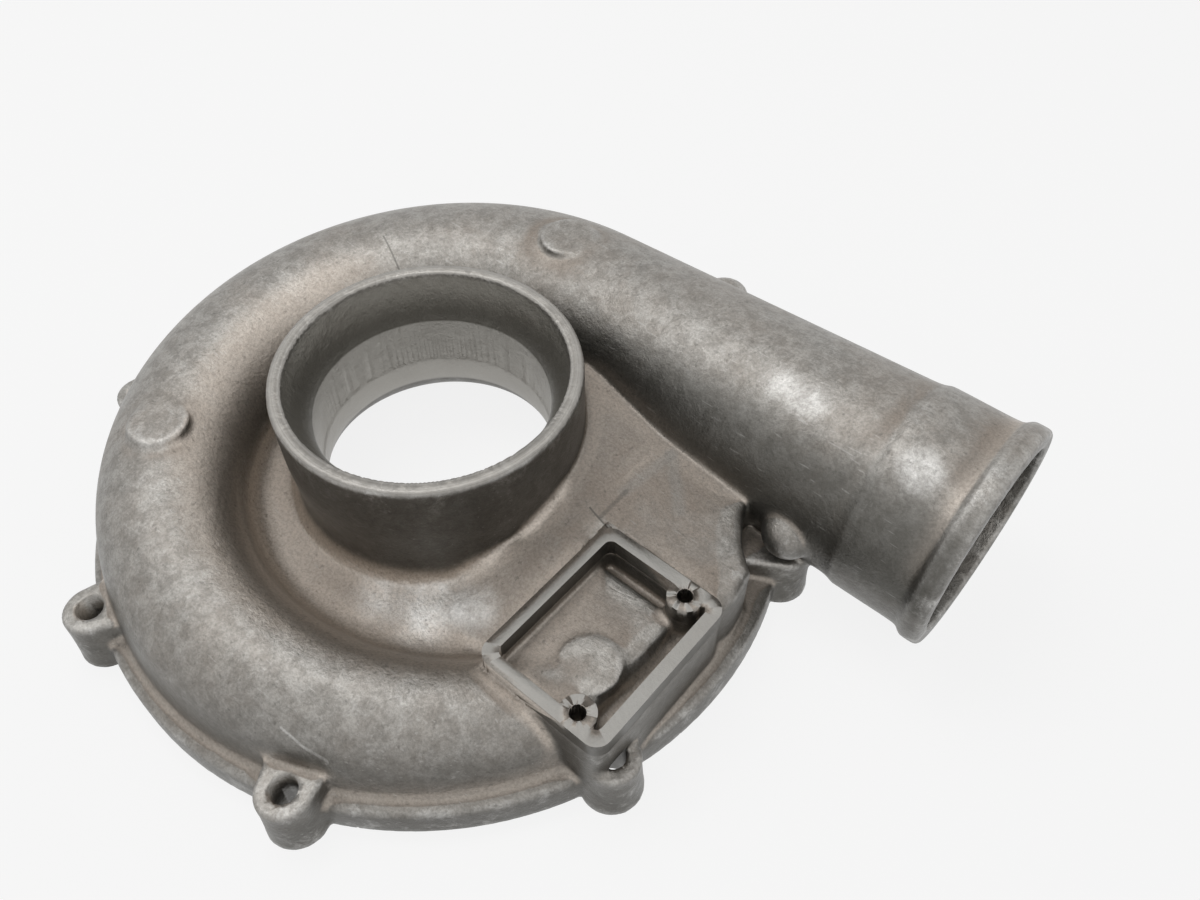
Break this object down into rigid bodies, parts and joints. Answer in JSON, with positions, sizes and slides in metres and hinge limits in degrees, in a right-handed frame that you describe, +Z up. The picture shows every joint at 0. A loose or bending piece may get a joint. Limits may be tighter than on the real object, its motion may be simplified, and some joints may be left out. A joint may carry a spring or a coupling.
{
  "type": "turbocharger compressor housing",
  "caption": "Cast aluminium compressor scroll housing with a central inlet neck, a tangential outlet pipe for a hose, and a flanged back.",
  "frame": {"origin": "inlet axis at the plane of the back flange", "axes": "+Z up along the inlet axis to the inlet mouth, +X along the outlet pipe towards its mouth"},
  "size_m": [0.2859, 0.2481, 0.0788],
  "materials": {
    "cast_aluminium": "satin"
  },
  "bodies": {
    "root": {"compressor_housing": "cast_aluminium"}
  },
  "joints": []
}
